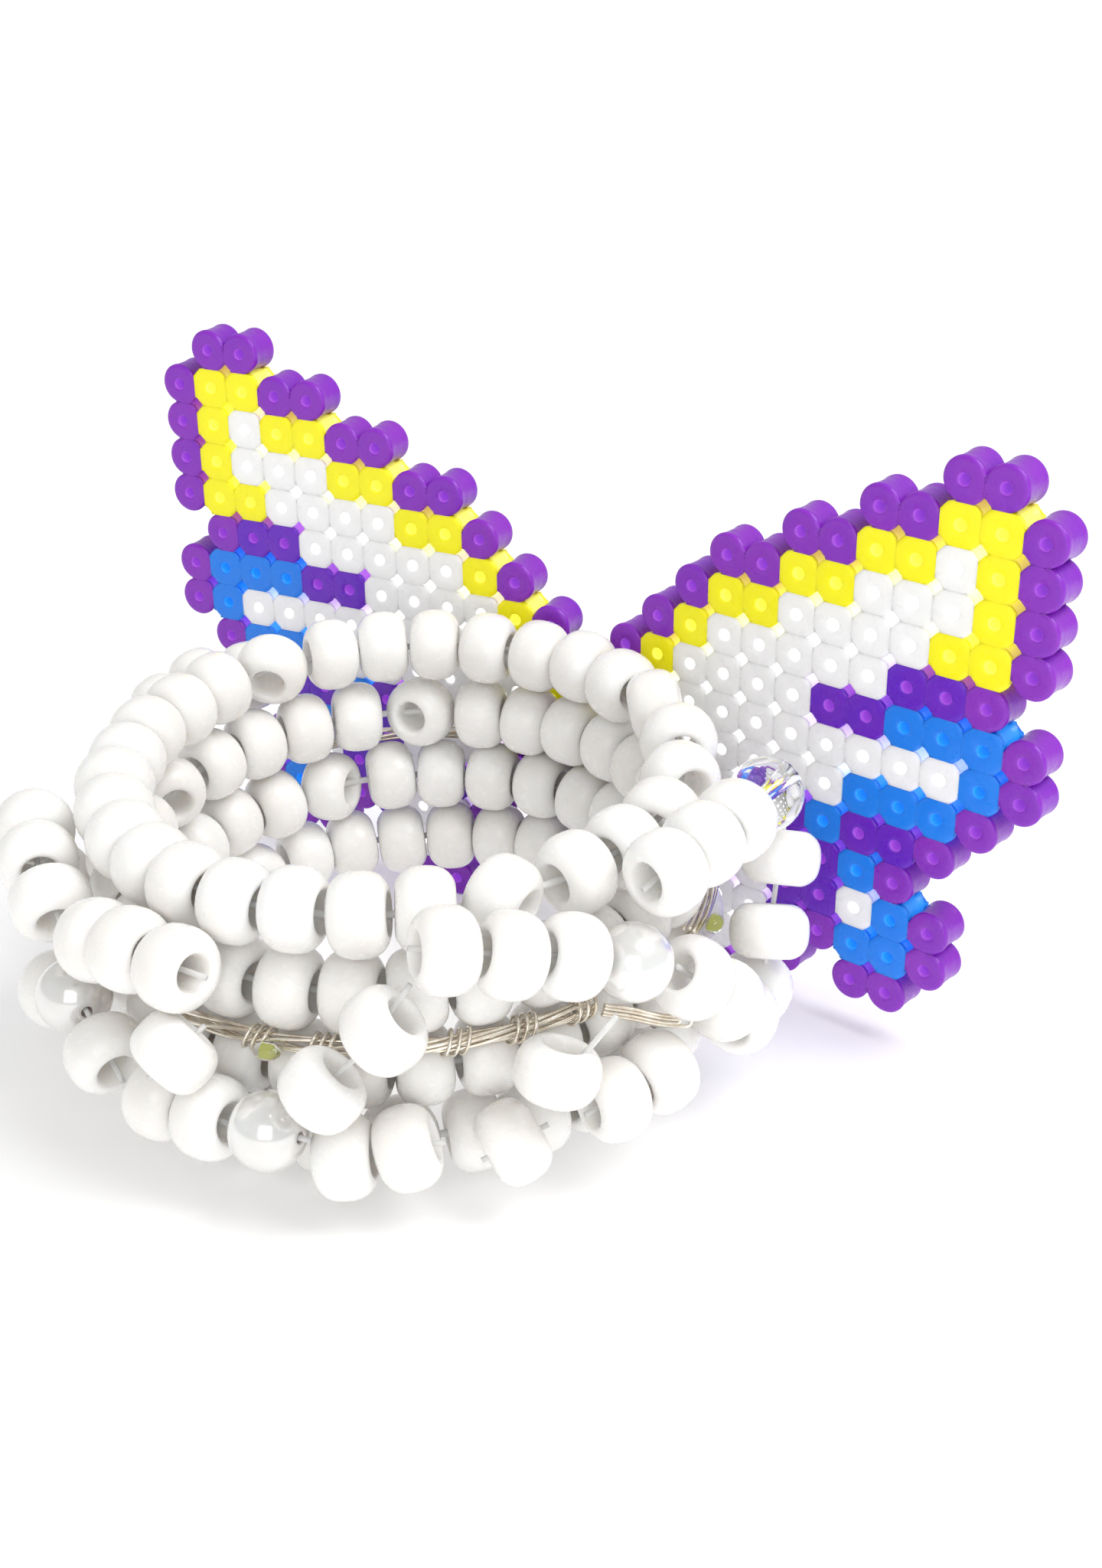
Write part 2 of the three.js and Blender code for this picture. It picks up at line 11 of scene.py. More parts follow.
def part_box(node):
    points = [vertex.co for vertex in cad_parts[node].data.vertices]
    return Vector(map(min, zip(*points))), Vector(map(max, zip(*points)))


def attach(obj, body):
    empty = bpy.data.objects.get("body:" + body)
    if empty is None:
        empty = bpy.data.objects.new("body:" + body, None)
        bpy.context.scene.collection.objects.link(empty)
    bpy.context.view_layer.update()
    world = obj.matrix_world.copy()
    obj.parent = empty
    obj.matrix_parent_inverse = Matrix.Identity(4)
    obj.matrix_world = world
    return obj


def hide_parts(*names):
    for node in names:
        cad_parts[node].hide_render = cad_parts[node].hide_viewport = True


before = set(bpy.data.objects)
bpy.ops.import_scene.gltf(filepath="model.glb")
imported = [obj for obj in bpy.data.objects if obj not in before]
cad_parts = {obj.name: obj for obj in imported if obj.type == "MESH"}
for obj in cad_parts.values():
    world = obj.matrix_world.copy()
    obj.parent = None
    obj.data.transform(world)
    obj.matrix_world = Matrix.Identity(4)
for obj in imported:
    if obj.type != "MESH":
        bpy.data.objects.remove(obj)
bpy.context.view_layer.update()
rng = random.Random(7)

MM = 0.001

# ---- Sizes that the CAD part is drawn to ----------------------------------------------------------------

CLEARANCE = 0.3
SNUG = 0.15
CORD_RADIUS = 0.4
CORD_END = 0.6
PONY_DIAMETER, PONY_LENGTH, PONY_GAP = 8.9, 6.05, 0.2
PEARL_DIAMETER, CRYSTAL_DIAMETER = 8.3, 8.2
RING_BEADS, RING_ROWS = 32, 4
# The beads that sit crosswise in each ring, from the lowest ring up. Each takes the place of two others.
TURNED_IN_ROWS = [[2, 10, 22, 27], [8, 12, 20, 27], [9, 18, 24, 29], [4, 9, 12, 21]]
CUFF_CENTRE_X, CUFF_BOTTOM, CUFF_SEAT = -1.0, 9.15, 0.68
FUSED_PITCH, PANEL_THICKNESS = 5.0, 4.6
WING_LEAN, WING_BEND = math.radians(4.8), math.radians(6.6)
HINGE_GAP = 0.9
BUNDLE_DIAMETER, LED_LENGTH, LED_DIAMETER = 1.8, 3.0, 1.9

PONY_RADIUS = PONY_DIAMETER / 2
RING_RADIUS = RING_BEADS * (PONY_LENGTH + PONY_GAP) / (2 * math.pi)
ROW_PITCH = PONY_DIAMETER + CLEARANCE
LOWEST_ROW = CUFF_BOTTOM + PONY_RADIUS
TOP_ROW = LOWEST_ROW + (RING_ROWS - 1) * ROW_PITCH
CUFF_CENTRE_Y = CUFF_SEAT - RING_RADIUS - PONY_RADIUS
FRONT_REACH = RING_RADIUS - CUFF_CENTRE_Y
CUFF_LEAN = math.acos(PONY_RADIUS / math.hypot(FRONT_REACH, LOWEST_ROW)) - math.atan2(FRONT_REACH, LOWEST_ROW)
BUNDLE_HEIGHT = TOP_ROW - 1.5 * ROW_PITCH
BUNDLE_REACH = PONY_RADIUS + BUNDLE_DIAMETER / 2 + CLEARANCE
BUNDLE_RADIUS = RING_RADIUS + math.sqrt(BUNDLE_REACH**2 - (ROW_PITCH / 2) ** 2)
BODY_MIDDLE = Vector((0, PANEL_THICKNESS / 2, 6 * FUSED_PITCH))

# The stand's frame sits where the CAD's butterfly body says.
low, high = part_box("butterfly_body")
stand = Matrix.Translation((low + high) / 2 / MM - Matrix.Rotation(WING_LEAN, 3, "X") @ BODY_MIDDLE)
cuff_frame = stand @ Matrix.Rotation(CUFF_LEAN, 4, "X")
butterfly_frame = stand @ Matrix.Rotation(WING_LEAN, 4, "X")

# ---- Shader helpers -------------------------------------------------------------------------------------


def new_material(name, color, roughness, **inputs):
    """A node material whose Principled shader has these even values."""
    material = bpy.data.materials.new(name)
    material.use_nodes = True
    shader = material.node_tree.nodes["Principled BSDF"]
    shader.inputs["Base Color"].default_value = (*color, 1)
    shader.inputs["Roughness"].default_value = roughness
    for key, value in inputs.items():
        shader.inputs[key.replace("_", " ")].default_value = value
    return material, shader


def node(material, kind, **settings):
    made = material.node_tree.nodes.new(kind)
    for key, value in settings.items():
        if key in made.inputs:
            made.inputs[key].default_value = value
        else:
            setattr(made, key, value)
    return made


def link(material, source, output, target, socket):
    material.node_tree.links.new(source.outputs[output], target.inputs[socket])


def noise(material, scale, detail=3.0):
    """A noise texture in the model's own metres, so that its grain is a real size."""
    place = node(material, "ShaderNodeTexCoord")
    texture = node(material, "ShaderNodeTexNoise", Scale=scale, Detail=detail)
    link(material, place, "Object", texture, "Vector")
    return texture


def bump(material, shader, textures, strength, distance):
    """Fine relief from the sum of some textures."""
    total, output = textures[0], 0
    for texture in textures[1:]:
        adding = node(material, "ShaderNodeMath", operation="ADD")
        link(material, total, output, adding, 0)
        link(material, texture, 0, adding, 1)
        total, output = adding, 0
    relief = node(material, "ShaderNodeBump", Strength=strength, Distance=distance)
    link(material, total, output, relief, "Height")
    link(material, relief, "Normal", shader, "Normal")


def varied(material, shader, texture, low_color, high_color, socket="Base Color", low=0.35, high=0.65):
    ramp = node(material, "ShaderNodeValToRGB")
    ramp.color_ramp.elements[0].position = low
    ramp.color_ramp.elements[1].position = high
    ramp.color_ramp.elements[0].color = (*low_color, 1)
    ramp.color_ramp.elements[1].color = (*high_color, 1)
    link(material, texture, 0, ramp, "Fac")
    link(material, ramp, "Color", shader, socket)
    return ramp


# ---- Materials ------------------------------------------------------------------------------------------


def pony_material():
    material, shader = new_material(
        "pony_white", (0.92, 0.91, 0.895), 0.3, Subsurface_Weight=0.3, Subsurface_Scale=0.0025, IOR=1.5
    )
    shader.inputs["Subsurface Radius"].default_value = (1.0, 0.75, 0.55)
    cloud = noise(material, 90)
    varied(material, shader, cloud, (0.89, 0.867, 0.836), (0.94, 0.93, 0.912))
    bump(material, shader, [noise(material, 260), noise(material, 2500, 2)], 0.08, 0.0002)
    streak = noise(material, 700, 5)
    varied(material, shader, streak, (0.2,) * 3, (0.3,) * 3, socket="Roughness")
    return material


def pearl_material():
    material, shader = new_material(
        "pearl", (0.86, 0.83, 0.8), 0.18, Metallic=0.35, Coat_Weight=1.0, Subsurface_Weight=0.1
    )
    shader.inputs["Coat Roughness"].default_value = 0.06
    varied(material, shader, noise(material, 160), (0.8, 0.77, 0.745), (0.88, 0.865, 0.85))
    bump(material, shader, [noise(material, 900)], 0.05, 0.0001)
    return material


def clear_material(name, tint, roughness, weight=1.0, ior=1.5):
    material, shader = new_material(name, tint, roughness, Transmission_Weight=weight, IOR=ior)
    varied(material, shader, noise(material, 400), tint, tuple(min(1, c + 0.03) for c in tint))
    bump(material, shader, [noise(material, 1500)], 0.04, 0.0001)
    return material


def fused_material(name, crowd_shade, lit, glow, translucency):
    """Ironed plastic with light and shade painted in: painted shade where beads crowd, painted light at the
    rim of the panel, and a painted glow in the bores and the pits between beads.
    """
    material, shader = new_material(
        name, lit, 0.3, Subsurface_Weight=translucency, Subsurface_Scale=0.0015, IOR=1.5,
        Emission_Strength=0.3,
    )
    shader.inputs["Subsurface Radius"].default_value = (1.0, 1.0, 1.0)
    # Painted light and shade: the body colour runs from the painted-shade colour of crowded beads toward the
    # lit colour, by a random cloud tone plus the rim share, which paints light onto the panel's edge beads.
    cloud = varied(material, shader, noise(material, 220, 4), (0.0,) * 3, (1.0,) * 3, low=0.2, high=0.8)
    rim = node(material, "ShaderNodeAttribute", attribute_name="rim_light_and_tone")
    share = node(material, "ShaderNodeMath", operation="MULTIPLY_ADD", use_clamp=True)
    link(material, cloud, "Color", share, 0)
    share.inputs[1].default_value = 0.35
    link(material, rim, "Fac", share, 2)
    body = blended(material, share, 0, (*crowd_shade, 1), (*lit, 1))
    # Painted light: the bores and the pits between beads take a lighter glow colour and glow with it by
    # emission, though they are no lamp.
    bore = node(material, "ShaderNodeAttribute", attribute_name="bore")
    color = node(material, "ShaderNodeMix", data_type="RGBA")
    link(material, bore, "Fac", color, 0)
    link(material, body, 2, color, 6)
    color.inputs[7].default_value = (*glow, 1)
    link(material, color, 2, shader, "Base Color")
    light = blended(material, bore, "Fac", (0, 0, 0, 1), (*glow, 1))
    link(material, light, 2, shader, "Emission Color")
    bump(material, shader, [noise(material, 260), noise(material, 1400, 4)], 0.2, 0.0003)
    varied(material, shader, noise(material, 500, 5), (0.22,) * 3, (0.38,) * 3, socket="Roughness")
    return material


def blended(material, source, output, first, second):
    """A colour between two even ones, by another node's value."""
    mix = node(material, "ShaderNodeMix", data_type="RGBA")
    link(material, source, output, mix, 0)
    mix.inputs[6].default_value = first
    mix.inputs[7].default_value = second
    return mix


def metal_material(name, dark, light, roughness):
    material, shader = new_material(name, light, roughness, Metallic=1.0)
    varied(material, shader, noise(material, 500), dark, light)
    bump(material, shader, [noise(material, 3000)], 0.1, 0.00005)
    return material


def moulded_material(name, color, roughness):
    material, shader = new_material(name, color, roughness, Subsurface_Weight=0.1, Subsurface_Scale=0.001)
    varied(material, shader, noise(material, 60), tuple(c * 0.96 for c in color), color)
    bump(material, shader, [noise(material, 4500, 2), noise(material, 1800, 2)], 0.35, 0.0001)
    return material


pony_white = pony_material()
pearl = pearl_material()
crystal = clear_material("clear_crystal", (0.95, 0.97, 1.0), 0.02)
elastic = clear_material("clear_elastic", (0.95, 0.95, 0.94), 0.2, 0.35, 1.4)
epoxy = clear_material("clear_epoxy", (0.97, 0.98, 0.94), 0.05, 0.95)
chip = moulded_material("light_chip", (0.62, 0.68, 0.1), 0.3)
champagne = metal_material("champagne_wire", (0.72, 0.64, 0.53), (0.95, 0.9, 0.81), 0.25)
steel = metal_material("nickel_steel", (0.55, 0.55, 0.56), (0.72, 0.72, 0.73), 0.28)
casing = moulded_material("white_casing", (0.86, 0.86, 0.85), 0.42)
foam = moulded_material("foam_tape", (0.8, 0.8, 0.78), 0.85)
# For each letter of the wing chart: a word, then the painted-shade colour where beads crowd, the
# painted-light colour at the panel's rim, the painted glow colour of bores and pits, and the translucency.
FUSED_LOOKS = {
    "P": ("purple", (0.09, 0.0, 0.54), (0.25, 0.02, 0.5), (0.4, 0.1, 0.66), 0.12),
    "Y": ("yellow", (1.0, 0.9, 0.0), (1.0, 0.95, 0.0), (1.0, 1.0, 0.16), 0.2),
    "W": ("white", (0.92, 0.92, 0.92), (0.94, 0.94, 0.94), (1.0, 1.0, 1.0), 0.35),
    "B": ("blue", (0.0, 0.2, 0.85), (0.0, 0.26, 0.92), (0.03, 0.36, 0.98), 0.12),
}
FUSED = {
    letter: (word, fused_material("fused_" + word, *look))
    for letter, (word, *look) in FUSED_LOOKS.items()
}

# ---- Mesh helpers ---------------------------------------------------------------------------------------


def ring_faces(segments, corners):
    """The faces of a closed profile of some corners, carried round in segments."""
    faces = []
    for step in range(segments):
        here, there = step * corners, (step + 1) % segments * corners
        for corner in range(corners):
            nxt = (corner + 1) % corners
            faces.append((here + corner, here + nxt, there + nxt, there + corner))
    return faces


def turned(profile, segments):
    """A closed profile of (along, radius) pairs turned about X."""
    verts = []
    for step in range(segments):
        turn = 2 * math.pi * step / segments
        for along, radius in profile:
            verts.append((along, radius * math.cos(turn), radius * math.sin(turn)))
    return np.array(verts), np.array(ring_faces(segments, len(profile)))


def swept(points, radius, sides=10, closed=False, profile=None):
    """A round section carried along points. profile(share) scales the radius along an open path."""
    points = [Vector(p) for p in points]
    count = len(points)
    tangents = []
    for index in range(count):
        before = points[index - 1] if closed or index else points[0]
        after = points[(index + 1) % count] if closed or index < count - 1 else points[-1]
        tangents.append((after - before).normalized())
    normal = tangents[0].orthogonal().normalized()
    verts = []
    for index, (point, tangent) in enumerate(zip(points, tangents)):
        normal = (normal - tangent * normal.dot(tangent)).normalized()
        side = tangent.cross(normal)
        size = radius * (profile(index / (count - 1)) if profile else 1)
        for step in range(sides):
            turn = 2 * math.pi * step / sides
            verts.append(point + (normal * math.cos(turn) + side * math.sin(turn)) * size)
    faces = []
    for index in range(count if closed else count - 1):
        here, there = index * sides, (index + 1) % count * sides
        for step in range(sides):
            nxt = (step + 1) % sides
            faces.append((here + step, here + nxt, there + nxt, there + step))
    if not closed:
        middle = [len(verts), len(verts) + 1]
        verts += [points[0], points[-1]]
        last = (count - 1) * sides
        for step in range(sides):
            nxt = (step + 1) % sides
            faces.append((middle[0], nxt, step))
            faces.append((middle[1], last + step, last + nxt))
    return np.array([tuple(v) for v in verts]), faces


def put(shape, matrix):
    """A shape's vertices moved by a matrix, with its faces."""
    verts, faces = shape
    turn = np.array(matrix.to_3x3())
    return verts @ turn.T + np.array(matrix.translation), faces


def enclosed(verts, faces):
    """Six times the signed volume, to tell which way the faces look."""
    total = 0.0
    for corners in (3, 4):
        flat = np.array([face for face in faces if len(face) == corners])
        if len(flat):
            for last in range(2, corners):
                a, b, c = (verts[flat[:, corner]] for corner in (0, last - 1, last))
                total += np.einsum("ij,ij", a, np.cross(b, c))
    return total


def gathered(shapes):
    verts, faces, base = [], [], 0
    for some, its_faces in shapes:
        verts.append(some)
        faces += [tuple(int(v) + base for v in face) for face in its_faces]
        base += len(some)
    return np.concatenate(verts), faces


def piece(name, shape, place, material, body, stands_for=(), smooth=True):
    """An object from a shape in millimetres, in the frame place, riding on a body."""
    verts, faces = put(shape, place)
    if enclosed(verts, faces) < 0:
        faces = [tuple(face)[::-1] for face in faces]
    mesh = bpy.data.meshes.new(name)
    mesh.from_pydata((verts * MM).tolist(), [], [tuple(int(v) for v in face) for face in faces])
    mesh.polygons.foreach_set("use_smooth", [smooth] * len(mesh.polygons))
    mesh.materials.append(material)
    mesh.update()
    made = bpy.data.objects.new(name, mesh)
    bpy.context.scene.collection.objects.link(made)
    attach(made, body)
    if stands_for:
        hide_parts(*stands_for)
    return made


def mirrored(half):
    """A closed profile from its half at along >= 0, given from the outside inwards."""
    return half + [(-along, radius) for along, radius in reversed(half) if along > 0]


# ---- Bead shapes ----------------------------------------------------------------------------------------

HALF = PONY_LENGTH / 2
PONY_BORE, BALL_BORE = 1.85, 0.62
PONY_PROFILE = mirrored([
    (0.0, PONY_RADIUS), (0.7, PONY_RADIUS - 0.03), (1.3, PONY_RADIUS - 0.13), (1.8, PONY_RADIUS - 0.32),
    (2.25, PONY_RADIUS - 0.62), (2.6, PONY_RADIUS - 1.0), (2.86, PONY_RADIUS - 1.42), (HALF - 0.02, 2.62),
    (HALF, 2.4), (HALF - 0.12, 2.18), (HALF - 0.45, 2.0), (HALF - 1.1, PONY_BORE), (0.0, PONY_BORE - 0.02),
])
PONY = turned(PONY_PROFILE, 32)


def round_profile(diameter, steps=14):
    """A ball with a bore, its mouths a little rounded."""
    radius, bore = diameter / 2, BALL_BORE
    mouth = math.asin((bore + 0.12) / radius)
    turns = [math.pi / 2 * s / steps * (1 - 2 * mouth / math.pi) for s in range(steps + 1)]
    arc = [(radius * math.sin(turn), radius * math.cos(turn)) for turn in turns]
    end = arc[-1][0]
    return mirrored(arc + [(end - 0.05, bore + 0.02), (end - 0.25, bore), (0.0, bore)])


PEARL = turned(round_profile(PEARL_DIAMETER), 40)
CLEAR_BALL = turned(round_profile(CRYSTAL_DIAMETER), 40)


# ---- The cuff -------------------------------------------------------------------------------------------

RING_TILT, OUTER_TILT, BEAD_SHIFT = 0.08, 0.12, 0.2
TURNED_SWING, TURNED_FACING = 0.45, (0.6, 2.5)
OUTER_ELASTIC = 0.75 * CORD_RADIUS


def outward_at(degrees):
    angle = math.radians(degrees)
    return Vector((math.sin(angle), -math.cos(angle), 0))


def cuff_point(degrees, height, radius):
    point = outward_at(degrees) * radius + Vector((CUFF_CENTRE_X, CUFF_CENTRE_Y, 0))
    point.z = height
    return point


def settled_radius(height):
    """How far out an outer bead of this height rests on the inner rings and the wire between them."""
    def over(radius, reach, drop):
        return radius + math.sqrt(max(reach**2 - drop**2, 0))

    rings = [
        over(RING_RADIUS, PONY_DIAMETER + CLEARANCE, height - LOWEST_ROW - row * ROW_PITCH)
        for row in range(RING_ROWS)
    ]
    return max(*rings, over(BUNDLE_RADIUS, BUNDLE_REACH, height - BUNDLE_HEIGHT))


def outer_point(place):
    degrees, height = place[:2]
    stand_off = place[2] if len(place) > 2 else 0
    return cuff_point(degrees, height, settled_radius(height) + stand_off)


def along_frame(at, along, outward):
    """A frame at a point with X along a cord and Z outwards."""
    x = along.normalized()
    y = outward.cross(x).normalized()
    z = x.cross(y)
    matrix = Matrix((x, y, z)).transposed().to_4x4()
    matrix.translation = at
    return matrix


def jostled(matrix, tilt):
    """A strung bead never sits quite square on its cord."""
    wobble = Matrix.Rotation(rng.uniform(-tilt, tilt), 4, "Y")
    wobble @= Matrix.Rotation(rng.uniform(-tilt, tilt), 4, "Z")
    across, outwards = rng.uniform(-BEAD_SHIFT, BEAD_SHIFT), rng.uniform(-BEAD_SHIFT, BEAD_SHIFT)
    slide = Matrix.Translation((0, across, outwards))
    return matrix @ slide @ wobble @ Matrix.Rotation(rng.uniform(0, 6.28), 4, "X")


def ring_frame(degrees, height):
    outward = outward_at(degrees)
    return along_frame(cuff_point(degrees, height, RING_RADIUS), Vector((-outward.y, outward.x, 0)), outward)


def closing_up(bead, turned_beads):
    """How many degrees a ring bead slides towards the turned beads near it."""
    room = math.degrees((2 * (PONY_LENGTH + PONY_GAP) - PONY_DIAMETER) / 2 / RING_RADIUS)
    reach = 4  # beads on each side that share the room
    slide = 0.0
    for turned_bead in turned_beads:
        away = bead + 0.5 - (turned_bead + 1)
        away = (away + RING_BEADS / 2) % RING_BEADS - RING_BEADS / 2
        rank = abs(away) - 0.5  # 1 for the bead next to it
        if rank <= reach:
            slide -= math.copysign(room * (1 - rank / (reach + 1)), away)
    return slide


def build_rings():
    step = 360 / RING_BEADS
    for row, turned_beads in enumerate(TURNED_IN_ROWS):
        height = LOWEST_ROW + row * ROW_PITCH
        beads = []
        crosswise = [number for bead in turned_beads for number in (bead, bead + 1)]
        for bead in range(RING_BEADS):
            if bead in turned_beads:
                facing = Matrix.Rotation(rng.uniform(-TURNED_SWING, TURNED_SWING), 4, "Z")
                facing @= Matrix.Rotation(rng.uniform(*TURNED_FACING), 4, "Y")
                beads.append(put(PONY, ring_frame((bead + 1) * step, height) @ facing))
            elif bead not in crosswise:
                degrees = (bead + 0.5) * step + closing_up(bead, turned_beads)
                beads.append(put(PONY, jostled(ring_frame(degrees, height), RING_TILT)))
        name = f"inner_ring_{row + 1}"
        piece(name + "_beads", gathered(beads), cuff_frame, pony_white, "cuff", [name])
        loop = [cuff_point(degrees, height, RING_RADIUS) for degrees in range(0, 360, 2)]
        cord = swept(loop, CORD_RADIUS, 10, closed=True)
        piece(name + "_elastic", cord, cuff_frame, elastic, "cuff")


# The outer layer, as the CAD part places it: [degrees, height, stand-off] for each bead, or the name of a
# bead that spins on the cord. lean and dip turn a single bead, and tail is where its elastic ends.
OUTER_CORDS = {
    "top_far_left": {"row": [[-113, 37], [-104, 38], [-95, 37]]},
    "rise_far_left": {"row": [[-87, 28.5]], "lean": -60},
    "foot_far_left": {"row": [[-80, 19.5], [-71, 18.5], [-62, 19.5]]},
    "rise_left": {"row": [[-54, 28.5]], "lean": 60},
    "top_left": {"row": [[-47, 38, 0.6], [-38, 37.6, 0.6], [-29, 36, 0.6]]},
    "foot_left": {"row": [[-36, 22, 0.2], "pearl_left", [-14, 22.6, 0.2]]},
    "top_front_left": {"row": [[-14, 36.2], [-5, 37.8], [4, 38]]},
    "rise_front_left": {"row": [[4.5, 29.2, 2.2]], "lean": 50, "dip": 50},
    "foot_front_left": {"row": [[-2.5, 20.4], [6.5, 20.2], "pearl_front"]},
    "rise_front": {"row": [[25.5, 27.6, 1.6], [34.5, 34.6, 1.6]], "tail": [38.5, 39, 0.4]},
    "top_front_right": {"row": [[43.5, 42.3], [52.5, 40.6], [61.5, 38.2], "pearl_right"]},
    "foot_front": {"row": [[27, 17.6], [36, 18.6]]},
    "foot_front_right": {"row": [[51.5, 17.4]], "lean": 20},
    "rise_front_right": {"row": [[58, 26, 1]], "lean": 65, "tail": [65, 32.5, 3.5]},
    "foot_right": {"row": [[68, 18.6], [77, 19]]},
    "fall_right": {"row": [[82.5, 29.6, 0.6], [90.5, 23.6, 0.6]]},
    "top_right": {"row": [[78, 43.4], [87, 43.8], [96, 43], "crystal_bead"]},
    "foot_far_right": {"row": [[100, 16.8], [109, 16.4]]},
    "rise_far_right": {"row": [[106, 25.6, 2], [111, 33, 2]]},
}
SPINNERS = {
    "pearl_left": ([-25, 25.6, 0.2], pearl, "pearl_bead"),
    "pearl_front": ([16.6, 21, 0.6], pearl, "pearl_bead"),
    "pearl_right": ([71.4, 35, 0.4], pearl, "pearl_bead"),
    "crystal_bead": ([106.5, 42.6, 1], crystal, "clear_bead"),
}


def cord_stations(cord):
    """(frame, spinner name or None) for each bead of a cord."""
    spinners = [entry if isinstance(entry, str) else None for entry in cord["row"]]
    places = [SPINNERS[spinner][0] if spinner else entry for entry, spinner in zip(cord["row"], spinners)]
    stations = []
    for index, (place, spinner) in enumerate(zip(places, spinners)):
        outward = outward_at(place[0])
        if len(places) == 1:
            tilt, dip = math.radians(cord.get("lean", 0)), math.tan(math.radians(cord.get("dip", 0)))
            along = Vector((-outward.y, outward.x, 0)) * math.cos(tilt) + Vector((0, 0, math.sin(tilt)))
            along -= outward * dip
        else:
            after, before = places[min(index + 1, len(places) - 1)], places[max(index - 1, 0)]
            along = outer_point(after) - outer_point(before)
        stations.append((along_frame(outer_point(place), along, outward), spinner))
    return stations


def smooth_path(points, steps=8):
    """A Catmull-Rom curve through points."""
    points = [Vector(p) for p in points]
    ends = [points[0] * 2 - points[1]] + points + [points[-1] * 2 - points[-2]]
    path = []
    for a, b, c, d in zip(ends, ends[1:], ends[2:], ends[3:]):
        for step in range(steps):
            t = step / steps
            path.append(0.5 * (2 * b + (c - a) * t + (2 * a - 5 * b + 4 * c - d) * t**2
                               + (3 * b - 3 * c + d - a) * t**3))
    return path + [points[-1]]


def build_outer_layer():
    for name, cord in OUTER_CORDS.items():
        stations = cord_stations(cord)
        beads = [put(PONY, jostled(matrix, OUTER_TILT)) for matrix, spinner in stations if not spinner]
        piece(name + "_beads", gathered(beads), cuff_frame, pony_white, "cuff", [name])
        path = []
        for matrix, spinner in stations:
            half = (PEARL_DIAMETER if spinner else PONY_LENGTH) / 2
            path += [matrix @ Vector((-half, 0, 0)), matrix @ Vector((half, 0, 0))]
        path[0] = stations[0][0] @ Vector((-HALF - CORD_END, 0, 0))
        beyond = path[-1] + (path[-1] - path[-2]).normalized()
        path[-1] = outer_point(cord["tail"]) if "tail" in cord else beyond
        strand = swept(smooth_path(path, 6), OUTER_ELASTIC, 10)
        piece(name + "_elastic", strand, cuff_frame, elastic, "cuff")
        for matrix, spinner in stations:
            if not spinner:
                continue
            _, material, slot = SPINNERS[spinner]
            ball = CLEAR_BALL if spinner == "crystal_bead" else PEARL
            piece(spinner + "_ball", put(ball, matrix), cuff_frame, material, spinner, [spinner])


# ---- String-light wire ----------------------------------------------------------------------------------

WIRE_RUNS = {"light_wire_front": (-76, 70), "light_wire_right": (97, 128), "light_wire_back": (129.5, 282.5)}
FOLDED_LOOP = [[71.2, 26.6, -4.9], [75, 25.8, -3], [78.5, 24.9, -1], [81.2, 24.4, 0.4]]
WRAP_NECKS = {"wire_wrap_1": 1, "wire_wrap_2": 2, "wire_wrap_3": 4, "wire_wrap_4": 5, "wire_wrap_5": 6}
LEDS = {"led_front": 14.5, "led_right": 102, "led_left": -68, "led_back": 150}
STRANDS = 6
STRAND_RADIUS = 0.22
STRAND_ORBIT = BUNDLE_DIAMETER / 2 - STRAND_RADIUS + 0.1
TWIST = 34.0  # of arc in one turn of the bundle
STEPS_A_DEGREE = 1.6
WANDER = 0.3  # how far round the bundle a strand strays, in radians
WRAP_TURNS = 3
WRAP_RADIUS = 0.19
WRAP_PITCH = 0.95
WRAP_STEPS = 60
HAIRPINS = [(0.62, 0), (0.24, 3)]  # how far apart the sides run, and how many points short each one stops
LOOP_STRAND = 0.9 * STRAND_RADIUS
CHIP_HALF, CHIP_EDGE, CHIP_RADIUS = 0.62, 0.02, 0.55


def bundle_point(degrees, orbit=0.0, turn=0.0):
    """A point on the bundle's axis, or off it by orbit at an angle from outwards."""
    return cuff_point(degrees, BUNDLE_HEIGHT + orbit * math.sin(turn), BUNDLE_RADIUS + orbit * math.cos(turn))


def build_wire():
    for name, (start, stop) in WIRE_RUNS.items():
        steps = int((stop - start) * STEPS_A_DEGREE)
        strands = []
        for strand in range(STRANDS):
            path = []
            for step in range(steps + 1):
                degrees = start + (stop - start) * step / steps
                length = math.radians(degrees) * BUNDLE_RADIUS
                wander = WANDER * math.sin(length / (4.1 + 0.7 * strand) + strand * 2.4)
                path.append(bundle_point(degrees, STRAND_ORBIT - 0.5 * abs(wander),
                                         2 * math.pi * (length / TWIST + strand / STRANDS) + wander))
            strands.append(swept(path, STRAND_RADIUS, 8))
        piece(name + "_strands", gathered(strands), cuff_frame, champagne, "cuff", [name])
    build_folded_loop()
    for name, neck in WRAP_NECKS.items():
        middle = 360 * neck / RING_BEADS
        slack = rng.uniform(0.02, 0.22)
        path = []
        for step in range(WRAP_STEPS + 1):
            share = step / WRAP_STEPS - 0.5
            along = share * WRAP_TURNS * WRAP_PITCH + 0.35 * math.sin(2 * math.pi * WRAP_TURNS * share)
            orbit = BUNDLE_DIAMETER / 2 + 2 * WRAP_RADIUS + slack * math.sin(9 * share) ** 2
            degrees = middle + math.degrees(along / BUNDLE_RADIUS)
            path.append(bundle_point(degrees, orbit, 2 * math.pi * WRAP_TURNS * share))
        coil = swept(path, WRAP_RADIUS, 8)
        piece(name + "_coil", coil, cuff_frame, champagne, "cuff", [name])
    for name, degrees in LEDS.items():
        build_led(name, degrees)


